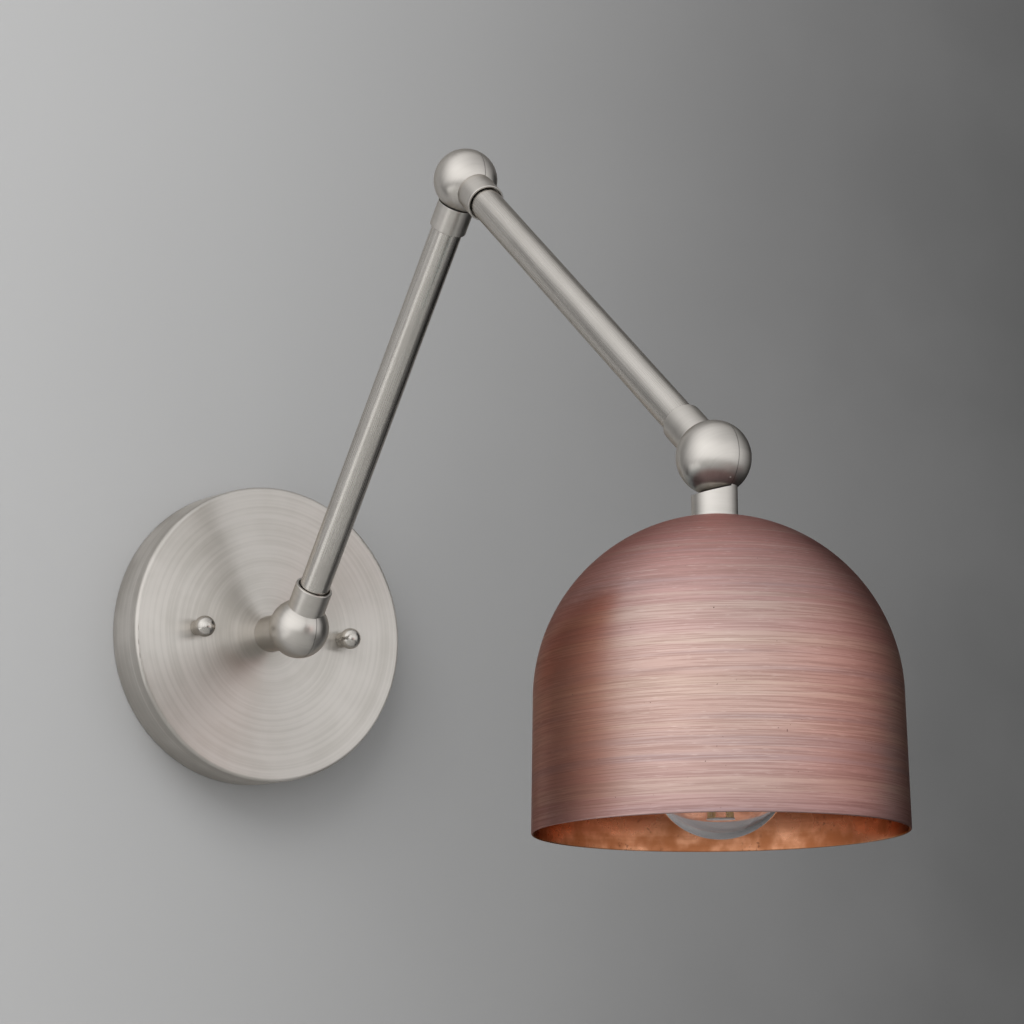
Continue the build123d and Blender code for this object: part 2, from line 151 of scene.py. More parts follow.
def product(tree, first, *others):
    for other in others:
        first = maths(tree, "MULTIPLY", first, other)
    return first


print("helpers", [helper.__name__ for helper in (add, feed, maths, spread, blend, product)])

# %% [markdown]
# Patterns start from a place in space. Noise reads it, its three numbers can be split apart and joined
# again, and a bump turns a height into a tilt of the surface.

# %% Places, noise and bump
def noise(tree, place, scale, detail=2.0, turn=None):
    made = add(tree, "TexNoise", noise_dimensions="3D" if turn is None else "4D")
    feed(tree, made.inputs["Vector"], place)
    feed(tree, made.inputs["Scale"], scale)
    feed(tree, made.inputs["Detail"], detail)
    if turn is not None:
        feed(tree, made.inputs["W"], turn)
    return made.outputs["Fac"]


def split(tree, place):
    made = add(tree, "SeparateXYZ")
    feed(tree, made.inputs[0], place)
    return made.outputs


def join(tree, *values):
    made = add(tree, "CombineXYZ")
    for socket, value in zip(made.inputs, values):
        feed(tree, socket, value)
    return made.outputs[0]


def bump(tree, height, depth, strength):
    made = add(tree, "Bump")
    feed(tree, made.inputs["Strength"], strength)
    feed(tree, made.inputs["Distance"], depth)
    feed(tree, made.inputs["Height"], height)
    return made.outputs["Normal"]


print("helpers", [helper.__name__ for helper in (noise, split, join, bump)])

# %% [markdown]
# ## Groups and materials
# A group is a net that several finishes share. Its inputs and outputs are named sockets, so each finish
# places the group once and gives it its own values. A material starts with Object coordinates that a
# Mapping node carries into the piece's own frame: its origin on the piece's axis, its Z along it.

# %% Helpers for groups and materials
def start_group(name, inputs, outputs):
    tree = bpy.data.node_groups.new(name, "ShaderNodeTree")
    for label, kind in inputs.items():
        tree.interface.new_socket(label, in_out="INPUT", socket_type="NodeSocket" + kind)
    for label in outputs:
        tree.interface.new_socket(label, in_out="OUTPUT", socket_type="NodeSocketFloat")
    return tree, tree.nodes.new("NodeGroupInput").outputs, tree.nodes.new("NodeGroupOutput").inputs


def use_group(tree, group, **sources):
    made = add(tree, "Group", node_tree=group)
    for label, source in sources.items():
        feed(tree, made.inputs[label], source)
    return made.outputs


def start_material(name, place=origin, tilt=0.0):
    material = bpy.data.materials.new(name)
    material.use_nodes = True
    tree = material.node_tree
    local = add(tree, "Mapping", vector_type="TEXTURE")
    local.inputs["Location"].default_value = place
    local.inputs["Rotation"].default_value = (tilt, 0, 0)
    feed(tree, local.inputs["Vector"], add(tree, "TexCoord").outputs["Object"])
    return material, tree, tree.nodes["Principled BSDF"].inputs, local.outputs["Vector"]


print("helpers", [helper.__name__ for helper in (start_group, use_group, start_material)])

# %% [markdown]
# ## Brushed grain
# Turned metal carries fine rings round its axis. They are noise squeezed hard in one direction: it reads
# the radius and the height finely and the bearing coarsely. The bearing goes in as a point on a circle,
# which takes a fourth dimension, so that the rings close without a seam. Bands are the same noise,
# coarser, and strokes are shorter.

# %% Turned grain
axis_gap = 1e-5
band_density = 0.2
stroke_shortness = 6.0


def make_turned_grain():
    inputs = {"Place": "Vector", "Density": "Float", "Stroke": "Float"}
    tree, given, result = start_group("turned_grain", inputs, ["Lines", "Bands", "Strokes"])
    x, y, z = split(tree, given["Place"])
    squares = maths(tree, "ADD", maths(tree, "MULTIPLY", x, x), maths(tree, "MULTIPLY", y, y))
    radius = maths(tree, "MAXIMUM", maths(tree, "SQRT", squares), axis_gap)
    bearing_x = maths(tree, "MULTIPLY", maths(tree, "DIVIDE", x, radius), given["Stroke"])
    bearing_y = maths(tree, "MULTIPLY", maths(tree, "DIVIDE", y, radius), given["Stroke"])
    fine_radius = maths(tree, "MULTIPLY", radius, given["Density"])
    fine_height = maths(tree, "MULTIPLY", z, given["Density"])
    across = join(tree, fine_radius, fine_height, bearing_x)
    feed(tree, result["Lines"], noise(tree, across, 1.0, 3.0, bearing_y))
    coarse_radius = maths(tree, "MULTIPLY", fine_radius, band_density)
    coarse_height = maths(tree, "MULTIPLY", fine_height, band_density)
    coarse = join(tree, coarse_radius, coarse_height, bearing_x)
    feed(tree, result["Bands"], noise(tree, coarse, 1.0, 2.0, bearing_y))
    short_x = maths(tree, "MULTIPLY", bearing_x, stroke_shortness)
    short_y = maths(tree, "MULTIPLY", bearing_y, stroke_shortness)
    short = join(tree, fine_radius, fine_height, short_x)
    feed(tree, result["Strokes"], noise(tree, short, 1.0, 1.0, short_y))
    return tree


turned_grain = make_turned_grain()
print("group", turned_grain.name, [item.name for item in turned_grain.interface.items_tree])

# %% [markdown]
# Drawn tube was pulled through a ring, so its fine lines run along it. The noise is stretched along the
# tube's own Z.

# %% Drawn grain
def make_drawn_grain():
    inputs = {"Place": "Vector", "Density": "Float", "Stretch": "Float"}
    tree, given, result = start_group("drawn_grain", inputs, ["Lines"])
    x, y, z = split(tree, given["Place"])
    along = join(tree, x, y, maths(tree, "DIVIDE", z, given["Stretch"]))
    feed(tree, result["Lines"], noise(tree, along, given["Density"], 3.0))
    return tree


drawn_grain = make_drawn_grain()
print("group", drawn_grain.name, [item.name for item in drawn_grain.interface.items_tree])

# %% [markdown]
# ## Satin nickel
# The canopy, arms and swivels are plated with nickel and brushed to a warm grey satin. It is a metal with
# a middling roughness. The grain shifts its colour and roughness a little and adds a very shallow bump,
# so that highlights break up along the brush lines. Faint clouds keep wide faces from looking too even.

# %% Satin nickel
nickel_dark = (0.50, 0.475, 0.44, 1)
nickel_light = (0.63, 0.60, 0.565, 1)
nickel_edge = (0.75, 0.72, 0.68, 1)
cloud_part = 0.35
band_part = 0.45


def finish_nickel(tree, shader, place, lines, roughness, depth, reach=0.2):
    clouds = noise(tree, place, 45.0, 3.0)
    tone = maths(tree, "MULTIPLY_ADD", clouds, cloud_part, maths(tree, "MULTIPLY", lines, 1 - cloud_part))
    level = spread(tree, tone, 0.5 - reach, 0.5 + reach)
    feed(tree, shader["Base Color"], blend(tree, level, nickel_dark, nickel_light))
    feed(tree, shader["Roughness"], spread(tree, tone, 0.3, 0.7, roughness - 0.04, roughness + 0.05))
    feed(tree, shader["Normal"], bump(tree, lines, depth, 0.6))
    shader["Metallic"].default_value = 1.0
    shader["Specular Tint"].default_value = nickel_edge


def turned_nickel(name, place, tilt, density, stroke, roughness, depth, reach=0.2):
    material, tree, shader, local = start_material(name, place, tilt)
    grain = use_group(tree, turned_grain, Place=local, Density=density, Stroke=stroke)
    fine = maths(tree, "MULTIPLY", grain["Lines"], 1 - band_part)
    lines = maths(tree, "MULTIPLY_ADD", grain["Bands"], band_part, fine)
    finish_nickel(tree, shader, local, lines, roughness, depth, reach)
    return material


def drawn_nickel(name, place, tilt):
    material, tree, shader, local = start_material(name, place, tilt)
    grain = use_group(tree, drawn_grain, Place=local, Density=2400.0, Stretch=70.0)
    finish_nickel(tree, shader, local, grain["Lines"], roughness=0.25, depth=0.02 * mm, reach=0.3)
    return material


print("nickel from", nickel_dark[:3], "to", nickel_light[:3])

# %% [markdown]
# ## The studio
# The lamp hangs in front of a grey board whose paint runs from light on the left to dark on the right, a painted
# falloff of light across it, and a pale floor lies below. Both show only their front, so views from behind or
# below look through them. The board has a hole where a wall has its junction box. The canopy hides it, and it lets
# light into the canopy's back.

# %% Stage sheets
def add_sheet(name, width, height, place, turn):
    deselect_everything()
    bpy.ops.mesh.primitive_plane_add(size=1.0, location=place, rotation=turn)
    sheet = bpy.context.object
    sheet.name = name
    sheet.scale = (width, height, 1)
    bpy.ops.object.transform_apply(location=True, rotation=True, scale=True)
    return sheet


def distance_from(tree, local, pivot):
    gap = add(tree, "VectorMath", operation="DISTANCE")
    feed(tree, gap.inputs[0], local)
    feed(tree, gap.inputs[1], pivot)
    return gap.outputs["Value"]


def front_only(tree, *openings):
    hidden = add(tree, "BsdfTransparent")
    sides = add(tree, "MixShader")
    clear = add(tree, "NewGeometry").outputs["Backfacing"]
    for opening in openings:
        clear = maths(tree, "MAXIMUM", clear, opening)
    feed(tree, sides.inputs[0], clear)
    feed(tree, sides.inputs[1], tree.nodes["Principled BSDF"].outputs[0])
    feed(tree, sides.inputs[2], hidden.outputs[0])
    feed(tree, tree.nodes["Material Output"].inputs["Surface"], sides.outputs[0])


def paint_roughness(tree, mottle):
    return spread(tree, mottle, 0.3, 0.7, 0.6, 0.75)


print("helpers", [helper.__name__ for helper in (add_sheet, distance_from, front_only, paint_roughness)])

# %% [markdown]
# The board's paint fades from light to dark along X, which paints the light falling off across the wall,
# with a faint mottle. Its gloss is off, because films that stand near it would leave a line on it. The
# hole is a disc round the origin where the paint is clear.

# %% Board
board_width = 0.78
board_height = 1.35
board_gap = 0.5 * mm
board_centre = Vector((0.22, board_gap, 0.075))
# the lit and the shaded end of the board's painted falloff of light
board_lit_end = (0.447, 0.447, 0.447, 1)
board_shaded_end = (0.098, 0.098, 0.098, 1)
board_fleck = (0.35, 0.35, 0.35, 1)
hole_radius = 55 * mm

board = add_sheet("backdrop", board_width, board_height, board_centre, (radians(90), 0, 0))
board_paint, tree, shader, local = start_material("grey board paint")
mottle = noise(tree, local, 6.0, 4.0)
# painted light: this fade from left to right stands in for light falling off across the wall
painted_falloff = spread(tree, split(tree, local)[0], -0.25, 0.5)
tone = blend(tree, painted_falloff, board_lit_end, board_shaded_end)
flecks = spread(tree, mottle, 0.3, 0.7, 0.0, 0.1)
feed(tree, shader["Base Color"], blend(tree, flecks, tone, board_fleck))
feed(tree, shader["Roughness"], paint_roughness(tree, mottle))
shader["Specular IOR Level"].default_value = 0.0
front_only(tree, maths(tree, "LESS_THAN", distance_from(tree, local, origin), hole_radius))
board.data.materials.append(board_paint)
print("hole in the board", round(2 * hole_radius / mm), "mm across")

# %% [markdown]
# The floor lies well below the lamp and sends a little soft light back up. It is pale, with the same
# mottle.

# %% Floor
floor_width = 1.9
floor_length = 2.6
floor_centre = Vector((-0.45, -0.9, -0.6))
floor_dark = (0.44, 0.44, 0.43, 1)
floor_light = (0.50, 0.50, 0.49, 1)

floor = add_sheet("floor", floor_width, floor_length, floor_centre, (0, 0, 0))
floor_paint, tree, shader, local = start_material("pale floor")
mottle = noise(tree, local, 2.0, 4.0)
feed(tree, shader["Base Color"], blend(tree, mottle, floor_dark, floor_light))
feed(tree, shader["Roughness"], paint_roughness(tree, mottle))
front_only(tree)
floor.data.materials.append(floor_paint)
print("stage", board.name, floor.name)

# %% [markdown]
# Satin metal shows whatever stands round it, so hard-edged lights would leave blotches on it. A light
# tent is smoother: the world itself glows in a wide sweep in front of the lamp, fades to dark behind its
# left side and along its right, dims below and straight above, and has a soft glow high at the left.

# %% Light tent
tent_level = 1.38
left_share = 0.16
right_share = 0.76
far_right_level = 0.12
upper_share = 0.85
lower_share = 0.26
zenith_level = 0.55
glow_level = 0.60
glow_focus = 4.0
glow_way = Vector((-0.45, -0.05, 0.89))


def light_tent(tree):
    way = add(tree, "TexCoord").outputs["Generated"]
    x, y, z = split(tree, way)
    bearing = maths(tree, "ARCTAN2", x, maths(tree, "MULTIPLY", y, -1.0))
    left = spread(tree, bearing, radians(-150), radians(-65), left_share, 1.0)
    right = spread(tree, bearing, radians(-60), radians(45), 1.0, right_share)
    far_right = spread(tree, bearing, radians(20), radians(112), tent_level, far_right_level)
    below = spread(tree, z, -0.1, -0.42, 1.0, lower_share)
    above = spread(tree, z, 0.1, 0.72, 1.0, upper_share)
    sides = product(tree, left, right, far_right, above, below)
    top = spread(tree, z, 0.45, 0.97)
    dome = add(tree, "Mix")
    for index, source in ((0, top), (2, sides), (3, zenith_level)):
        feed(tree, dome.inputs[index], source)
    toward = add(tree, "VectorMath", operation="DOT_PRODUCT")
    feed(tree, toward.inputs[0], way)
    feed(tree, toward.inputs[1], glow_way)
    facing = maths(tree, "MAXIMUM", toward.outputs["Value"], 0.0)
    glow = maths(tree, "MULTIPLY", maths(tree, "POWER", facing, glow_focus), glow_level)
    return maths(tree, "ADD", dome.outputs[0], glow)


print("tent level", tent_level, "falling to", far_right_level, "at the far right")

# %% [markdown]
# The tent becomes the world's colour. The camera sees a plain pale grey instead, wherever the board ends,
# and so do rays that have passed through glass.

# %% World
plain_grey = (0.62, 0.62, 0.62, 1)

world = bpy.data.worlds.new("studio")
bpy.context.scene.world = world
world.use_nodes = True
tree = world.node_tree
path = add(tree, "LightPath")
seen = maths(tree, "MAXIMUM", path.outputs["Is Camera Ray"], path.outputs["Is Transmission Ray"])
feed(tree, tree.nodes["Background"].inputs["Color"], blend(tree, seen, light_tent(tree), plain_grey))
print("world", world.name)

# %% [markdown]
# Copper looks richer towards its sides when warm things stand beside it, and polished balls need
# something dark to show their roundness. Films do that here. Only mirror rays see them, and from one side
# alone, so they cast no shadow and the camera looks through them. A film fades from clear to its full
# tint, by bearing or by distance from a point.

# %% Films for the mirror rays
no_tint = (1, 1, 1, 1)


def bearing_round(tree, local, pivot):
    x, y, _ = split(tree, local)
    return maths(tree, "ARCTAN2", maths(tree, "SUBTRACT", x, pivot.x), maths(tree, "SUBTRACT", pivot.y, y))


def tint_film(sheet, tint, measure, pivot, clear, full):
    film, tree, _, local = start_material(sheet.name.replace("_", " "))
    depth = spread(tree, measure(tree, local, pivot), clear, full)
    lit_side = maths(tree, "SUBTRACT", 1.0, add(tree, "NewGeometry").outputs["Backfacing"])
    mirrored = product(tree, depth, lit_side, add(tree, "LightPath").outputs["Is Glossy Ray"])
    seen_through = add(tree, "BsdfTransparent")
    feed(tree, seen_through.inputs["Color"], blend(tree, mirrored, no_tint, tint))
    feed(tree, tree.nodes["Material Output"].inputs["Surface"], seen_through.outputs[0])
    sheet.data.materials.append(film)


def way_to(bearing, rise):
    return Vector((sin(bearing) * cos(rise), -cos(bearing) * cos(rise), sin(rise)))


def add_leaf(name, start, bearing, droop, length, width):
    """A sheet that droops outward from its start, with its front below."""
    outward = way_to(bearing, -droop)
    sideways = way_to(bearing - radians(90), 0)
    turn = Matrix((outward, sideways, outward.cross(sideways))).transposed().to_euler()
    return add_sheet(name, length, width, start + outward * length / 2, turn)


print("helpers", [helper.__name__ for helper in (bearing_round, tint_film, way_to, add_leaf)])

# %% [markdown]
# A warm film droops from each side of the shade, so that only rays from below, which come from the shade,
# meet it. A dark one stands to the right of the canopy and another lies over the shade's crown. A cool
# one behind the shade keeps its red out of the canopy.

# %% Five films
left_start = Vector((-0.066, -0.37, 0.0))
left_tint = (0.66, 0.31, 0.20, 1)
left_film = add_leaf("left_film", left_start, radians(-122), radians(12), length=0.9, width=0.5)
tint_film(left_film, left_tint, bearing_round, left_start, clear=radians(-76), full=radians(-118))

shade_axis = Vector((0, -0.364, 0.0))
right_start = shade_axis + Vector((0.0226, -0.062, 0.0))
right_tint = (1.0, 0.67, 0.63, 1)
right_film = add_leaf("right_film", right_start, radians(20), radians(40), length=0.15, width=0.3)
tint_film(right_film, right_tint, bearing_round, shade_axis, clear=radians(-30), full=radians(50))

dark_place = Vector((0.35, -0.16, 0.1))
dark_tint = (0.08, 0.08, 0.08, 1)
dark_film = add_sheet("dark_film", 0.4, 0.3, dark_place, (0, radians(-90), 0))
tint_film(dark_film, dark_tint, bearing_round, base_ball, clear=radians(56), full=radians(68))

crown_drop = 20.4 * mm
crown_top = head_ball - Vector((0, 0, crown_drop))
crown_tint = (0.34, 0.41, 0.44, 1)
crown_film = add_sheet("crown_film", 0.12, 0.12, crown_top, (0, 0, 0))
tint_film(crown_film, crown_tint, distance_from, crown_top, clear=48 * mm, full=12 * mm)

shade_back = Vector((0, -0.285, -0.043))
mute_tint = (0.76, 0.98, 1.0, 1)
mute_film = add_sheet("mute_film", 0.15, 0.12, shade_back, (radians(-90), 0, 0))
tint_film(mute_film, mute_tint, distance_from, shade_back, clear=75 * mm, full=40 * mm)
print("films", [sheet.name for sheet in (left_film, right_film, dark_film, crown_film, mute_film)])

# %% [markdown]
# Three soft boxes add to the tent. One stands at the upper left and casts the soft shadow beside the
# canopy. Mirror rays don't see it, so it leaves no square highlight on the balls. A small one glows low
# at the left, and gives the arms their bright streak. The third stands behind the board and lights the
# canopy's hollow. An area light's radiance is its power over pi and its area.

# %% Soft boxes
light_target = Vector((0, -0.22, 0.05))


def soft_box(name, bearing, rise, distance, size, radiance):
    toward = way_to(bearing, rise)
    deselect_everything()
    bpy.ops.object.light_add(type="AREA", location=light_target + toward * distance)
    box = bpy.context.object
    box.name = name
    box.data.shape = "RECTANGLE"
    box.data.size, box.data.size_y = size
    box.data.energy = radiance * pi * size[0] * size[1]
    box.rotation_mode = "QUATERNION"
    box.rotation_quaternion = toward.to_track_quat("Z", "Y")
    return box


wall_box = soft_box("wall_box", radians(-50), radians(41), distance=1.65, size=(1.1, 1.1), radiance=4.4)
wall_box.visible_glossy = False
soft_box("low_left_box", radians(-96), radians(-27), distance=1.15, size=(0.9, 0.26), radiance=0.7)
back_box = soft_box("back_box", radians(180), radians(25), distance=2.4, size=(1.2, 1.2), radiance=3.2)
back_box.visible_camera = False

# %% [markdown]
# ## Turning a profile
# Most of this lamp is turned or spun, and the same is done here by hand: a plane is merged to one point,
# and the point is extruded along half of the section. Round stretches of it are arcs. A finished piece is
# laid in place by a move and a tilt that are applied at once, so that its place is in its mesh.

# %% Drawing an outline
def apply_place(piece, place, tilt):
    piece.location = place
    piece.rotation_euler = (tilt, 0, 0)
    bpy.ops.object.transform_apply(location=True, rotation=True, scale=True)


def draw_outline(name, outline):
    """One vertex, extruded from point to point of the outline. The piece stays in edit mode."""
    deselect_everything()
    bpy.ops.mesh.primitive_plane_add(size=mm)
    piece = bpy.context.object
    piece.name = name
    bpy.ops.object.mode_set(mode="EDIT")
    bpy.ops.mesh.merge(type="CENTER")
    here = Vector((outline[0][0], 0, outline[0][1]))
    bpy.ops.transform.translate(value=here)
    for radius, height in outline[1:]:
        there = Vector((radius, 0, height))
        bpy.ops.mesh.extrude_vertices_move(TRANSFORM_OT_translate={"value": there - here})
        here = there
    return piece


def arc(centre_r, centre_z, radius, start, end, count):
    """Points on an arc of the outline, with angles in degrees from the radial direction towards +Z."""
    angles = [radians(start + (end - start) * step / count) for step in range(count + 1)]
    return [(centre_r + radius * cos(angle), centre_z + radius * sin(angle)) for angle in angles]


print("helpers", [helper.__name__ for helper in (apply_place, draw_outline, arc)])

# %% [markdown]
# Spinning the outline once round Z makes the skin. Its first and last copies are merged at the seam, and
# only then are the faces turned outward. A finished piece rides on its body and may stand for one of the
# measured parts.

# %% Spinning and owning
weld_gap = 1e-6


def turn_profile(name, outline, steps, sharp=radians(35)):
    piece = draw_outline(name, outline)
    bpy.ops.mesh.select_all(action="SELECT")
    bpy.ops.mesh.spin(steps=steps, angle=2 * pi, center=(0, 0, 0), axis=(0, 0, 1))
    bpy.ops.mesh.select_all(action="SELECT")
    bpy.ops.mesh.remove_doubles(threshold=weld_gap)
    bpy.ops.mesh.normals_make_consistent(inside=False)
    bpy.ops.object.mode_set(mode="OBJECT")
    bpy.ops.object.shade_smooth_by_angle(angle=sharp)
    return piece


def own(piece, body, slot, *replaced):
    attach(piece, body)
    if replaced:
        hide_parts(*replaced)


# %% [markdown]
# ## The shade
# The shade is spun from thin copper sheet: a round crown that runs into a nearly straight skirt, open
# below. Outside it is coloured and brushed, inside it is bare, and the cut edge at the rim is softly
# rounded. One closed outline runs down the outside, round the rim and up the inside, and then the inner
# faces take a finish of their own.

# %% Shade outline
seat_depth = 21.8 * mm
seat_radius = 9.0 * mm
pipe_hole_radius = 5.4 * mm
dome_radius = 64.3 * mm
rim_radius = 65.3 * mm
shade_height = 110.0 * mm
sheet_thickness = 0.9 * mm
shade_steps = 240
dome_count = 44
rim_count = 8
skirt_parts = (0.25, 0.5, 0.75)
rim_depth = seat_depth + shade_height
dome_depth = seat_depth + sqrt(dome_radius**2 - seat_radius**2)


def between(first, last, part):
    return first + (last - first) * part


def dome_wall(radius, hole):
    """Crown from the seat to the skirt: the depth grows as the point leaves the top."""
    top = degrees(acos(hole / radius))
    return [(r, dome_depth - (z - dome_depth)) for r, z in arc(0, dome_depth, radius, top, 0, dome_count)]


def shade_outline():
    inner_dome = dome_radius - sheet_thickness
    skirt = []
    for part in skirt_parts:
        skirt.append((between(dome_radius, rim_radius, part), between(dome_depth, rim_depth, part)))
    inner_skirt = [(r - sheet_thickness, z) for r, z in reversed(skirt)]
    edge = sheet_thickness / 2
    rim = arc(rim_radius - edge, rim_depth - edge, edge, 0, 180, rim_count)
    inner_seat = sqrt(inner_dome**2 - (dome_depth - seat_depth - sheet_thickness) ** 2)
    outline = [(pipe_hole_radius, seat_depth)] + dome_wall(dome_radius, seat_radius) + skirt + rim
    outline += inner_skirt + list(reversed(dome_wall(inner_dome, inner_seat)))
    return outline + [(pipe_hole_radius, seat_depth + sheet_thickness), (pipe_hole_radius, seat_depth)]


copper_shade = turn_profile("copper_shade", shade_outline(), shade_steps)
print("shade faces", len(copper_shade.data.polygons))

# %% [markdown]
# ## Antique copper
# The outside was darkened, brushed round and lacquered, so it is dusty rose with fine level lines,
# broader tan and violet bands, and a few dark specks. It is redder at the crown and darker at the hem.
# Worn strokes show paler metal. The lines circle the shade's own axis, and a tangent round that axis
# stretches the highlights across them. The specular tint keeps the far edges dark and warm.

# %% Brush direction
def tangent_round(tree, local, tilt):
    """Direction round the piece's own axis, carried from its frame back to the world's."""
    x, y, _ = split(tree, local)
    around = join(tree, maths(tree, "MULTIPLY", y, -1.0), x, 0.0)
    turned = add(tree, "VectorRotate", rotation_type="X_AXIS")
    feed(tree, turned.inputs["Vector"], around)
    feed(tree, turned.inputs["Angle"], tilt)
    carried = add(tree, "VectorTransform", vector_type="VECTOR", convert_from="OBJECT", convert_to="WORLD")
    feed(tree, carried.inputs[0], turned.outputs[0])
    return carried.outputs[0]


print("helper", tangent_round.__name__)

# %% [markdown]
# The tones go from the specks and the darkest brush line to the palest scratch, and were tuned by comparing
# renders with the photograph. The crown and the hem each have a tone that is multiplied in, and depths
# below the seat say where they fade.

# %% Copper tones
copper_red = (0.50, 0.25, 0.222, 1)
copper_rose = (0.55, 0.385, 0.34, 1)
copper_tan = (0.59, 0.445, 0.375, 1)
copper_violet = (0.465, 0.35, 0.335, 1)
brush_dark = (0.36, 0.225, 0.19, 1)
brush_light = (0.71, 0.56, 0.50, 1)
speck_brown = (0.07, 0.035, 0.028, 1)
copper_edge = (0.45, 0.30, 0.26, 1)
quarter_turn = 0.25
crown_tone = (0.955, 0.95, 1.0, 1)
hem_tone = (0.83, 0.78, 0.83, 1)
crown_reach = 55 * mm
crown_fade = 64 * mm
crown_full = 42 * mm
hem_fade = 78 * mm
hem_full = 112 * mm
print("copper from", brush_dark[:3], "to", brush_light[:3])

# %% [markdown]
# Each blend lays one more layer over the last: crown to skirt, bands, dark and light lines, the tones of
# crown and hem, and specks. The turned grain group gives all the lines, at three densities.

# %% Copper layers
def antique_copper():
    material, tree, shader, local = start_material("antique copper", head_ball, shade_tilt)
    fine = use_group(tree, turned_grain, Place=local, Density=2500.0, Stroke=2.4)
    scratches = use_group(tree, turned_grain, Place=local, Density=1700.0, Stroke=1.3)
    bands = use_group(tree, turned_grain, Place=local, Density=240.0, Stroke=0.3)
    depth = split(tree, local)[2]
    crown = spread(tree, depth, seat_depth, seat_depth + crown_reach)
    colour = blend(tree, crown, copper_red, copper_rose)
    band_share = spread(tree, depth, seat_depth, seat_depth + crown_reach, 0.3, 1.0)
    tan_bands = maths(tree, "MULTIPLY", band_share, spread(tree, bands["Lines"], 0.5, 0.66))
    violet_bands = maths(tree, "MULTIPLY", band_share, spread(tree, bands["Lines"], 0.48, 0.34, 0.0, 0.8))
    colour = blend(tree, tan_bands, colour, copper_tan)
    colour = blend(tree, violet_bands, colour, copper_violet)
    colour = blend(tree, spread(tree, scratches["Bands"], 0.5, 0.32, 0.0, 0.22), colour, brush_dark)
    colour = blend(tree, spread(tree, fine["Lines"], 0.56, 0.4, 0.0, 0.48), colour, brush_dark)
    colour = blend(tree, spread(tree, scratches["Lines"], 0.59, 0.67, 0.0, 0.34), colour, brush_light)
    colour = blend(tree, spread(tree, fine["Strokes"], 0.58, 0.78, 0.0, 0.4), colour, brush_light)
    near_crown = spread(tree, depth, seat_depth + crown_fade, seat_depth + crown_full)
    near_hem = spread(tree, depth, seat_depth + hem_fade, seat_depth + hem_full)
    colour = blend(tree, near_crown, colour, crown_tone, "MULTIPLY")
    colour = blend(tree, near_hem, colour, hem_tone, "MULTIPLY")
    specks = spread(tree, noise(tree, local, 900.0, 1.0), 0.78, 0.83, 0.0, 0.75)
    feed(tree, shader["Base Color"], blend(tree, specks, colour, speck_brown))
    feed(tree, shader["Roughness"], spread(tree, fine["Lines"], 0.3, 0.7, 0.46, 0.36))
    feed(tree, shader["Normal"], bump(tree, fine["Lines"], 0.03 * mm, 0.6))
    feed(tree, shader["Tangent"], tangent_round(tree, local, shade_tilt))
    shader["Metallic"].default_value = 1.0
    shader["Specular Tint"].default_value = copper_edge
    shader["Anisotropic"].default_value = 0.55
    shader["Anisotropic Rotation"].default_value = quarter_turn
    return material


copper_shade.data.materials.append(antique_copper())
print("outside", copper_shade.data.materials[0].name)

# %% [markdown]
# Inside, the copper was left bare and has tarnished in blotches: bright orange metal, cloudy brown
# patches and small dark marks where drops dried. Broad noise mixes the two tones, and finer noise, kept to
# patches, makes the marks.

# %% Bare copper inside
tarnish_brown = (0.49, 0.19, 0.083, 1)
bright_orange = (0.80, 0.405, 0.24, 1)
line_brown = (0.38, 0.13, 0.05, 1)
mark_brown = (0.12, 0.05, 0.03, 1)
bare_edge = (0.2, 0.1, 0.06, 1)


def bare_copper():
    material, tree, shader, local = start_material("bare copper", head_ball, shade_tilt)
    clouds = noise(tree, local, 80.0, 5.0)
    grain = use_group(tree, turned_grain, Place=local, Density=700.0, Stroke=2.5)
    colour = blend(tree, spread(tree, clouds, 0.36, 0.62), tarnish_brown, bright_orange)
    colour = blend(tree, spread(tree, grain["Lines"], 0.62, 0.4, 0.0, 0.25), colour, line_brown)
    patches = spread(tree, noise(tree, local, 120.0, 4.0), 0.52, 0.64, 0.0, 0.6)
    marks = spread(tree, noise(tree, local, 600.0, 3.0), 0.56, 0.66)
    feed(tree, shader["Base Color"], blend(tree, product(tree, patches, marks), colour, mark_brown))
    feed(tree, shader["Roughness"], spread(tree, clouds, 0.36, 0.62, 0.38, 0.24))
    feed(tree, shader["Normal"], bump(tree, clouds, 0.2 * mm, 0.3))
    shader["Metallic"].default_value = 1.0
    shader["Specular Tint"].default_value = bare_edge
    return material


copper_shade.data.materials.append(bare_copper())
print("inside", copper_shade.data.materials[1].name)

# %% [markdown]
# The two finishes meet at the rim. A face belongs to the inside where its normal points towards the
# shade's axis, or in the crown towards the centre of the dome. Those faces are selected and given the
# second material slot.

# %% Inside faces
def give_faces(piece, is_picked, index):
    """Give the faces that the test picks a material slot of their own."""
    bpy.context.tool_settings.mesh_select_mode = (False, False, True)
    bpy.ops.object.mode_set(mode="EDIT")
    bpy.ops.mesh.select_all(action="DESELECT")
    bpy.ops.object.mode_set(mode="OBJECT")
    for face in piece.data.polygons:
        face.select = is_picked(face)
    bpy.ops.object.mode_set(mode="EDIT")
    piece.active_material_index = index
    bpy.ops.object.material_slot_assign()
    bpy.ops.object.mode_set(mode="OBJECT")
    bpy.context.tool_settings.mesh_select_mode = (True, False, False)


def faces_the_bulb(face):
    centre = Vector((0, 0, max(face.center.z, dome_depth)))
    return face.normal.dot(face.center - centre) < 0


give_faces(copper_shade, faces_the_bulb, 1)
apply_place(copper_shade, head_ball, shade_tilt)
own(copper_shade, "head", "antique_copper", "shade")
print("shade inside faces", sum(face.material_index for face in copper_shade.data.polygons))

# %% [markdown]
# ## The bulb's glass
# The round bulb is blown from clear glass: a short neck that sinks into the screw base, and a globe whose
# end shows below the rim. Blown glass gathers at its end, so the inner wall is a flatter curve there. The
# thicker end bends the light into the grey crescent that a plain thin shell would not show.

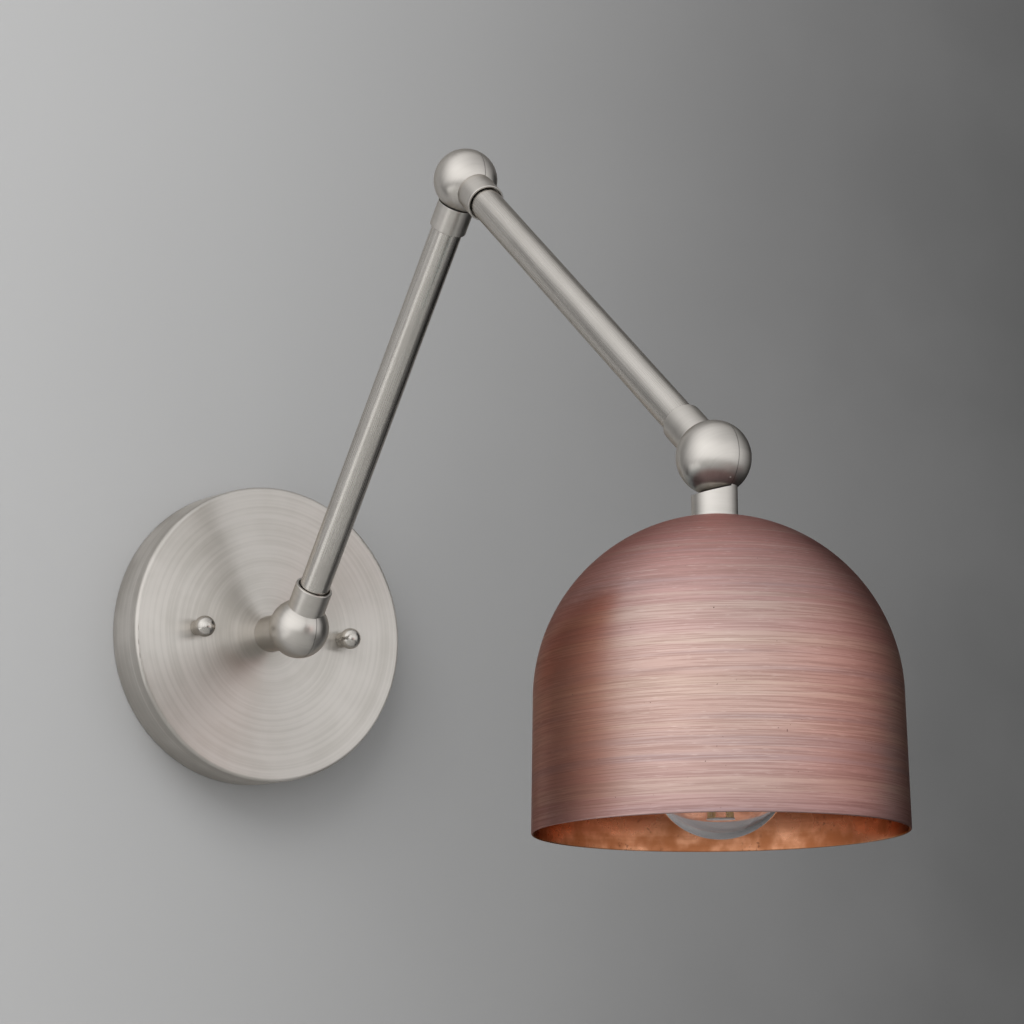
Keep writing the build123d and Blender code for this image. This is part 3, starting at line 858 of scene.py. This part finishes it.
# %% Bulb globe
neck_top = 78.7 * mm
neck_radius = 11.9 * mm
globe_radius = 25.0 * mm
globe_depth = 109.0 * mm
glass_wall = 0.7 * mm
glass_end = 1.7 * mm
globe_steps = 96
outside_count = 40
inside_top_count = 16
inside_end_count = 24


def ellipse(centre_z, radius, height, start, end, count):
    """Like an arc, but with a height of its own."""
    points = arc(0, 0, 1.0, start, end, count)
    return [(radius * r, centre_z + height * z) for r, z in points]


def globe_outline():
    inner_radius = globe_radius - glass_wall
    inner_neck = neck_radius - glass_wall
    outer_top = -degrees(acos(neck_radius / globe_radius))
    inner_top = -degrees(acos(inner_neck / inner_radius))
    outside = ellipse(globe_depth, globe_radius, globe_radius, outer_top, 90, outside_count)
    inside_top = ellipse(globe_depth, inner_radius, inner_radius, 0, inner_top, inside_top_count)
    inside_end = ellipse(globe_depth, inner_radius, globe_radius - glass_end, 90, 0, inside_end_count)
    neck = [(inner_neck, neck_top), (neck_radius, neck_top)]
    return neck + outside + inside_end[:-1] + inside_top + neck[:1]


bulb_globe = turn_profile("bulb_globe", globe_outline(), globe_steps)
print("globe faces", len(bulb_globe.data.polygons))

# %% [markdown]
# Clean glass is never quite clean. A faint haze of fingerprints changes only the roughness, and the tint
# stays near white, because all the colour comes from what shows through.

# %% Clear glass
glass_warm = (0.98, 0.92, 0.92, 1)
glass_clear = (1.0, 0.95, 0.95, 1)
glass_bend = 1.5


def clear_glass():
    material, tree, shader, local = start_material("clear glass", head_ball, shade_tilt)
    smudge = spread(tree, noise(tree, local, 60.0, 4.0), 0.45, 0.75, 0.01, 0.09)
    feed(tree, shader["Roughness"], smudge)
    tint = blend(tree, noise(tree, local, 25.0), glass_warm, glass_clear)
    feed(tree, shader["Base Color"], tint)
    shader["Transmission Weight"].default_value = 1.0
    shader["IOR"].default_value = glass_bend
    return material


bulb_clear = clear_glass()
bulb_globe.data.materials.append(bulb_clear)
apply_place(bulb_globe, head_ball, shade_tilt)
own(bulb_globe, "head", "clear_glass", "bulb_glass")
print("glass", bulb_clear.name)

# %% [markdown]
# ## Ball cap nuts
# Two small turned nuts clamp the canopy to the studs. Each is a ball on a short neck, with a soft fillet
# where they meet and a blind hole behind. They are polished a little brighter than the canopy. One is
# turned first.

# %% Cap nut
stud_spacing = 69.85 * mm
canopy_depth = 22.2 * mm
nut_ball_radius = 4.5 * mm
nut_ball_stand = 7.5 * mm
nut_neck_radius = 3.3 * mm
nut_fillet = 0.7 * mm
nut_edge = 0.25 * mm
nut_steps = 48
fillet_count = 5
ball_count = 20
stud_radius = 2.08 * mm
stud_clearance = 0.05 * mm


def cap_nut_outline():
    fillet_r = nut_neck_radius + nut_fillet
    drop = sqrt((nut_ball_radius + nut_fillet) ** 2 - fillet_r**2)
    turn = degrees(atan2(drop, fillet_r))
    fillet = arc(fillet_r, nut_ball_stand - drop, nut_fillet, 180, 180 - turn, fillet_count)
    ball = arc(0, nut_ball_stand, nut_ball_radius, -turn, 90, ball_count)
    hole = stud_radius + stud_clearance
    foot = [(hole, 0), (nut_neck_radius - nut_edge, 0), (nut_neck_radius, nut_edge)]
    return foot + fillet + ball[1:]


cap_nuts = turn_profile("cap_nuts", cap_nut_outline(), nut_steps)
print("cap nut faces", len(cap_nuts.data.polygons))

# %% [markdown]
# The nut is still open behind, where the stud goes in. Its open ring is found as the edges with one face,
# extruded inward as the wall of a blind hole, and capped.

# %% Blind hole
stud_grip = 7.6 * mm


def pick(piece):
    deselect_everything()
    piece.select_set(True)
    bpy.context.view_layer.objects.active = piece


def close_hole(piece):
    """Close the open ring at the foot with a blind hole: the ring is drawn in and capped."""
    pick(piece)
    bpy.ops.object.mode_set(mode="EDIT")
    bpy.ops.mesh.select_all(action="DESELECT")
    bpy.ops.mesh.select_non_manifold()
    bpy.ops.mesh.extrude_region_move(TRANSFORM_OT_translate={"value": (0, 0, stud_grip)})
    bpy.ops.mesh.edge_face_add()
    bpy.ops.mesh.select_all(action="SELECT")
    bpy.ops.mesh.normals_make_consistent(inside=False)
    bpy.ops.object.mode_set(mode="OBJECT")


close_hole(cap_nuts)
print("cap nut faces with its hole", len(cap_nuts.data.polygons))

# %% [markdown]
# Nuts and studs come in pairs, one on each side of the stem. A piece is doubled with a mesh of its own.
# The copy goes to the right stud, the first one to the left, and both become one piece.

# %% Pairs on the studs
def at_stud(piece, side, height):
    apply_place(piece, Vector((side * stud_spacing / 2, -height, 0)), wall_tilt)


def pair_on_studs(piece, height):
    pick(piece)
    bpy.ops.object.duplicate(linked=False)
    twin = bpy.context.object
    at_stud(twin, 1, height)
    pick(piece)
    at_stud(piece, -1, height)
    twin.select_set(True)
    bpy.ops.object.join()


pair_on_studs(cap_nuts, canopy_depth)
left_stud = Vector((-stud_spacing / 2, 0, 0))
rings = {"density": 2400.0, "stroke": 0.8, "depth": 0.005 * mm}
nut_nickel = turned_nickel("cap nut nickel", left_stud, wall_tilt, roughness=0.24, **rings)
cap_nuts.data.materials.append(nut_nickel)
own(cap_nuts, "wall_mount", "satin_nickel", "canopy_ball_nuts")
print("faces of both cap nuts", len(cap_nuts.data.polygons))

# %% [markdown]
# ## Threads
# From behind, the canopy shows its hardware: two threaded studs and the end of the threaded pipe that
# holds the stem. A thread is one tooth of the profile swept round and along the axis. The Screw modifier
# does that from a short open outline. The ends are then cut square with bisect, which also closes them.

# %% Cutting a thread
tooth_depth = 0.55
spare_turns = 3
cut_gap = 1e-7
thread_sharp = radians(25)


def thread_outline(radius, pitch):
    """One tooth, with flats of an eighth of the pitch at its crest and its root."""
    root = radius - tooth_depth * pitch
    return [(radius, 0), (radius, pitch / 8), (root, pitch / 2), (root, pitch * 5 / 8), (radius, pitch)]


def cut_square(height, side):
    bpy.ops.mesh.select_all(action="SELECT")
    bpy.ops.mesh.bisect(
        plane_co=(0, 0, height), plane_no=(0, 0, side), use_fill=True, clear_outer=True, threshold=cut_gap
    )


def threaded_rod(name, radius, pitch, start, end, steps):
    rod = draw_outline(name, thread_outline(radius, pitch))
    bpy.ops.object.mode_set(mode="OBJECT")
    screw = rod.modifiers.new("thread", "SCREW")
    screw.screw_offset = pitch
    screw.iterations = int((end - start) / pitch) + spare_turns
    screw.steps = screw.render_steps = steps
    screw.use_merge_vertices = True
    screw.merge_threshold = weld_gap
    bpy.ops.object.modifier_apply(modifier=screw.name)
    rod.location.z = start - pitch
    bpy.ops.object.transform_apply(location=True, rotation=True, scale=True)
    bpy.ops.object.mode_set(mode="EDIT")
    cut_square(start, -1)
    cut_square(end, 1)
    bpy.ops.mesh.select_all(action="SELECT")
    bpy.ops.mesh.normals_make_consistent(inside=False)
    bpy.ops.object.mode_set(mode="OBJECT")
    bpy.ops.object.shade_smooth_by_angle(angle=thread_sharp)
    return rod


print("helpers", [helper.__name__ for helper in (thread_outline, cut_square, threaded_rod)])

# %% [markdown]
# The studs start in the crossbar and end just short of the bottom of the cap nuts' holes, so their length
# follows from the canopy's depth.

# %% Threaded studs
stud_pitch = 0.79 * mm
stud_tip_gap = 1.4 * mm
stud_end = canopy_depth + stud_grip - stud_tip_gap
stud_steps = 24

threaded_studs = threaded_rod("threaded_studs", stud_radius, stud_pitch, 0, stud_end, stud_steps)
pair_on_studs(threaded_studs, 0)
own(threaded_studs, "wall_mount", "zinc_steel", "crossbar_studs")
print("stud faces", len(threaded_studs.data.polygons))

# %% [markdown]
# The lamp pipe is the same thread, only wider and hollow: a plain bar of the bore's size is taken out of
# it with a Boolean modifier. It starts just behind its nut and ends inside the stem.

# %% Threaded canopy pipe
pipe_radius = 5.1 * mm
pipe_bore = 3.7 * mm
pipe_pitch = 0.94 * mm
canopy_wall = 1.0 * mm
washer_thickness = 1.0 * mm
pipe_nut_thickness = 4.0 * mm
pipe_tail = 3.0 * mm
pipe_grip = 9.0 * mm
pipe_steps = 40
bar_steps = 48
bar_length = 1.0
pipe_nut_height = canopy_depth - canopy_wall - washer_thickness - pipe_nut_thickness


def cut_with(piece, tool, operation):
    pick(piece)
    cut = piece.modifiers.new("cut", "BOOLEAN")
    cut.operation = operation
    cut.solver = "EXACT"
    cut.object = tool
    bpy.ops.object.modifier_apply(modifier=cut.name)
    bpy.data.objects.remove(tool)


def bore_through(piece, radius):
    deselect_everything()
    bpy.ops.mesh.primitive_cylinder_add(vertices=bar_steps, radius=radius, depth=bar_length)
    cut_with(piece, bpy.context.object, "DIFFERENCE")


pipe_start = pipe_nut_height - pipe_tail
pipe_end = canopy_depth + pipe_grip
threaded_pipe = threaded_rod(
    "threaded_canopy_pipe", pipe_radius, pipe_pitch, pipe_start, pipe_end, pipe_steps
)
bore_through(threaded_pipe, pipe_bore)
apply_place(threaded_pipe, origin, wall_tilt)
own(threaded_pipe, "wall_mount", "brass", "canopy_nipple")
print("pipe faces", len(threaded_pipe.data.polygons))

# %% [markdown]
# ## Hex nuts
# A real hex nut is cut from bar and its corners are turned off, which leaves the curved chamfers on its
# faces. The same happens here: a six-sided prism is intersected with a turned blank that has chamfered
# edges and the bore.

# %% Hex nuts
nut_chamfer = 0.5 * mm
face_share = 0.97
blank_steps = 64
nut_sharp = radians(20)


def nut_blank(corner, inner, bore, thickness):
    lower = [(bore, 0), (inner, 0), (corner, nut_chamfer)]
    upper = [(corner, thickness - nut_chamfer), (inner, thickness), (bore, thickness)]
    return turn_profile("blank", lower + upper + lower[:1], blank_steps)


def hex_nut(name, flats, bore, thickness):
    corner = flats / sqrt(3)
    blank = nut_blank(corner, flats / 2 * face_share, bore, thickness)
    deselect_everything()
    bpy.ops.mesh.primitive_cylinder_add(vertices=6, radius=corner, depth=2 * thickness)
    nut = bpy.context.object
    nut.name = name
    nut.location.z = thickness / 2
    nut.rotation_euler.z = radians(30)
    bpy.ops.object.transform_apply(location=True, rotation=True, scale=True)
    cut_with(nut, blank, "INTERSECT")
    bpy.ops.object.shade_smooth_by_angle(angle=nut_sharp)
    return nut


stud_nut_flats = 8.7 * mm
stud_nut_thickness = 3.2 * mm
pipe_nut_flats = 14.3 * mm
crossbar_thickness = 1.6 * mm
stud_hex_nuts = hex_nut("stud_hex_nuts", stud_nut_flats, stud_radius + stud_clearance, stud_nut_thickness)
pair_on_studs(stud_hex_nuts, crossbar_thickness)
own(stud_hex_nuts, "wall_mount", "zinc_steel", "stud_lock_nuts")
pipe_hex_nut = hex_nut("pipe_hex_nut", pipe_nut_flats, pipe_radius + stud_clearance, pipe_nut_thickness)
apply_place(pipe_hex_nut, Vector((0, -pipe_nut_height, 0)), wall_tilt)
own(pipe_hex_nut, "wall_mount", "brass", "canopy_hex_nut")
print("nut faces", len(stud_hex_nuts.data.polygons), len(pipe_hex_nut.data.polygons))

# %% [markdown]
# ## Hardware metals
# Zinc plate is a cold grey with a faint yellow and blue sheen in clouds. Machined brass is warm, with
# brown tarnish in spots. The bulb's base is pale rolled aluminium, and the ground screw is lacquered
# green. All use one group, which gives broad clouds and small stains, and they differ only in
# their colours and gloss.

# %% Stained metal group
def make_stains():
    inputs = {"Place": "Vector", "Cloud size": "Float", "Stain size": "Float"}
    tree, given, result = start_group("stains", inputs, ["Clouds", "Stains"])
    clouds = noise(tree, given["Place"], given["Cloud size"], 4.0)
    stains = noise(tree, given["Place"], given["Stain size"], 3.0)
    feed(tree, result["Clouds"], spread(tree, clouds, 0.35, 0.65))
    feed(tree, result["Stains"], spread(tree, stains, 0.56, 0.74))
    return tree


stains = make_stains()
print("group", stains.name)

# %% [markdown]
# Each metal goes from a first to a second tone along its clouds and its turning lines, and stains lie
# over both.

# %% Hardware metals
line_part = 0.35
sheen_part = 0.8
stain_part = 0.5


def hardware_metal(name, place, tilt, first, second, stain, roughness):
    material, tree, shader, local = start_material(name, place, tilt)
    marks = use_group(tree, stains, Place=local, **{"Cloud size": 140.0, "Stain size": 420.0})
    grain = use_group(tree, turned_grain, Place=local, Density=2600.0, Stroke=1.2)
    sheen = maths(tree, "MULTIPLY", marks["Clouds"], sheen_part)
    tone = maths(tree, "MULTIPLY_ADD", grain["Lines"], line_part, sheen)
    colour = blend(tree, tone, first, second)
    stained = maths(tree, "MULTIPLY", marks["Stains"], stain_part)
    feed(tree, shader["Base Color"], blend(tree, stained, colour, stain))
    feed(tree, shader["Roughness"], spread(tree, tone, 0.1, 0.9, roughness + 0.08, roughness - 0.06))
    feed(tree, shader["Normal"], bump(tree, grain["Lines"], 0.01 * mm, 0.5))
    shader["Metallic"].default_value = 1.0
    return material


def zinc_steel(name, place, tilt):
    tones = (0.50, 0.52, 0.55, 1), (0.68, 0.67, 0.62, 1), (0.33, 0.31, 0.27, 1)
    return hardware_metal(name, place, tilt, *tones, roughness=0.34)


def brass(name, place, tilt):
    tones = (0.62, 0.42, 0.17, 1), (0.80, 0.60, 0.29, 1), (0.30, 0.17, 0.07, 1)
    return hardware_metal(name, place, tilt, *tones, roughness=0.32)


def bulb_aluminium(name, place, tilt):
    tones = (0.62, 0.62, 0.62, 1), (0.78, 0.78, 0.77, 1), (0.42, 0.41, 0.40, 1)
    return hardware_metal(name, place, tilt, *tones, roughness=0.3)


def green_steel(name, place, tilt):
    tones = (0.03, 0.20, 0.08, 1), (0.06, 0.34, 0.15, 1), (0.35, 0.37, 0.33, 1)
    return hardware_metal(name, place, tilt, *tones, roughness=0.36)


print("hardware metals", [make.__name__ for make in (zinc_steel, brass, bulb_aluminium, green_steel)])

# %% [markdown]
# ## Insulators
# The socket body is dark moulded phenolic, the bulb's contact sits in fused black glass, the friction
# washers are pressed fibre, the filaments are coated with yellow phosphor, and the leads have smooth
# plastic insulation, one dark and one pale. None of them is a metal, so colour flecks and a soft uneven
# gloss carry them.

# %% Insulators
lead_dark = (0.02, 0.02, 0.022, 1)
lead_border = 0.1 * mm


def moulded(name, place, tilt, first, second, fleck_size, roughness):
    material, tree, shader, local = start_material(name, place, tilt)
    flecks = noise(tree, local, fleck_size, 5.0)
    feed(tree, shader["Base Color"], blend(tree, spread(tree, flecks, 0.4, 0.64), first, second))
    feed(tree, shader["Roughness"], spread(tree, flecks, 0.35, 0.65, roughness - 0.06, roughness + 0.08))
    feed(tree, shader["Normal"], bump(tree, flecks, 0.03 * mm, 0.4))
    return material


def phenolic(name, place, tilt):
    return moulded(name, place, tilt, (0.018, 0.015, 0.013, 1), (0.045, 0.035, 0.028, 1), 500.0, 0.38)


def black_glass(name, place, tilt):
    return moulded(name, place, tilt, (0.008, 0.008, 0.012, 1), (0.03, 0.028, 0.04, 1), 300.0, 0.12)


def fibre(name, place, tilt):
    return moulded(name, place, tilt, (0.22, 0.09, 0.05, 1), (0.42, 0.22, 0.13, 1), 1400.0, 0.75)


def phosphor(name, place, tilt):
    return moulded(name, place, tilt, (0.78, 0.42, 0.05, 1), (0.92, 0.62, 0.14, 1), 1600.0, 0.6)


def lead_insulation(name, place, tilt):
    material = moulded(name, place, tilt, (0.70, 0.69, 0.65, 1), (0.82, 0.81, 0.77, 1), 700.0, 0.42)
    tree = material.node_tree
    shader = tree.nodes["Principled BSDF"].inputs
    pale = shader["Base Color"].links[0].from_socket
    x, _, _ = split(tree, tree.nodes["Mapping"].outputs[0])
    dark_side = spread(tree, x, lead_border, -lead_border)
    feed(tree, shader["Base Color"], blend(tree, dark_side, pale, lead_dark))
    return material


print("insulators", [make.__name__ for make in (phenolic, black_glass, fibre, phosphor, lead_insulation)])

# %% [markdown]
# ## Dressing the measured parts
# The tubes and the canopy have nickel of their own: lines run along a drawn tube, and round the face of a
# spun canopy, where stretched highlights make two fans. The swivels are turned more finely. The bulb's
# stem shares the globe's glass.

# %% Nickel for canopy, tubes and swivels
def canopy_finish():
    rings = {"density": 720.0, "stroke": 0.3, "depth": 0.08 * mm}
    material = turned_nickel("canopy nickel", origin, wall_tilt, roughness=0.34, reach=0.11, **rings)
    tree = material.node_tree
    shader = tree.nodes["Principled BSDF"].inputs
    shader["Anisotropic"].default_value = 0.94
    shader["Anisotropic Rotation"].default_value = quarter_turn
    feed(tree, shader["Tangent"], tangent_round(tree, tree.nodes["Mapping"].outputs[0], wall_tilt))
    return material


def satin_nickel(name, place, tilt):
    rings = {"density": 2200.0, "stroke": 0.8, "depth": 0.004 * mm}
    return turned_nickel(name, place, tilt, roughness=0.31, reach=0.4, **rings)


own_finish = {
    "canopy": canopy_finish(),
    "lower_arm_tube": drawn_nickel("lower arm nickel", base_ball, lower_arm_tilt),
    "upper_arm_tube": drawn_nickel("upper arm nickel", elbow_ball, upper_arm_tilt),
    "bulb_stem": bulb_clear,
}
print("own finishes", sorted(own_finish))

# %% [markdown]
# Every other part takes the finish of its slot in the record. A finish is made once for each moving body,
# centred on that body's own axis, so that turned lines circle the right axis. The copper and the glass
# are made already, on the finer meshes, so their slots need no finish here.

# %% A finish for each slot and body
body_frames = {
    "wall_mount": (origin, wall_tilt),
    "lower_arm": (base_ball, lower_arm_tilt),
    "upper_arm": (elbow_ball, upper_arm_tilt),
    "head": (head_ball, shade_tilt),
}
slot_finishes = {
    "satin_nickel": satin_nickel,
    "zinc_steel": zinc_steel,
    "brass": brass,
    "green_steel": green_steel,
    "fibre": fibre,
    "lead_insulation": lead_insulation,
    "phenolic": phenolic,
    "black_glass": black_glass,
    "bulb_aluminium": bulb_aluminium,
    "phosphor": phosphor,
    "antique_copper": None,
    "clear_glass": None,
}
made_finishes = {}


def finish_for(slot, body):
    label = slot.replace("_", " ") + " " + body.replace("_", " ")
    if label not in made_finishes:
        made_finishes[label] = slot_finishes[slot](label, *body_frames[body])
    return made_finishes[label]


print("slots", sorted(slot_finishes))

# %% [markdown]
# The record says which body a part rides on and which slot it has. The threaded pieces and the hex nuts
# take the same finishes as the hardware round them.

# %% Dress every node
record = frame["record"]
body_of = {node: body for body, members in record["behaviour"]["bodies"].items() for node in members}
slot_of = {part["node"]: part["material_slot"] for part in record["subparts"]}
for name, node in nodes.items():
    node.data.materials.clear()
    if name in own_finish:
        node.data.materials.append(own_finish[name])
    elif slot_finishes[slot_of[name]]:
        node.data.materials.append(finish_for(slot_of[name], body_of[name]))
hardware_pieces = (
    (threaded_studs, "zinc_steel"),
    (stud_hex_nuts, "zinc_steel"),
    (threaded_pipe, "brass"),
    (pipe_hex_nut, "brass"),
)
for piece, slot in hardware_pieces:
    piece.data.materials.clear()
    piece.data.materials.append(finish_for(slot, "wall_mount"))
print("finishes", len(made_finishes))
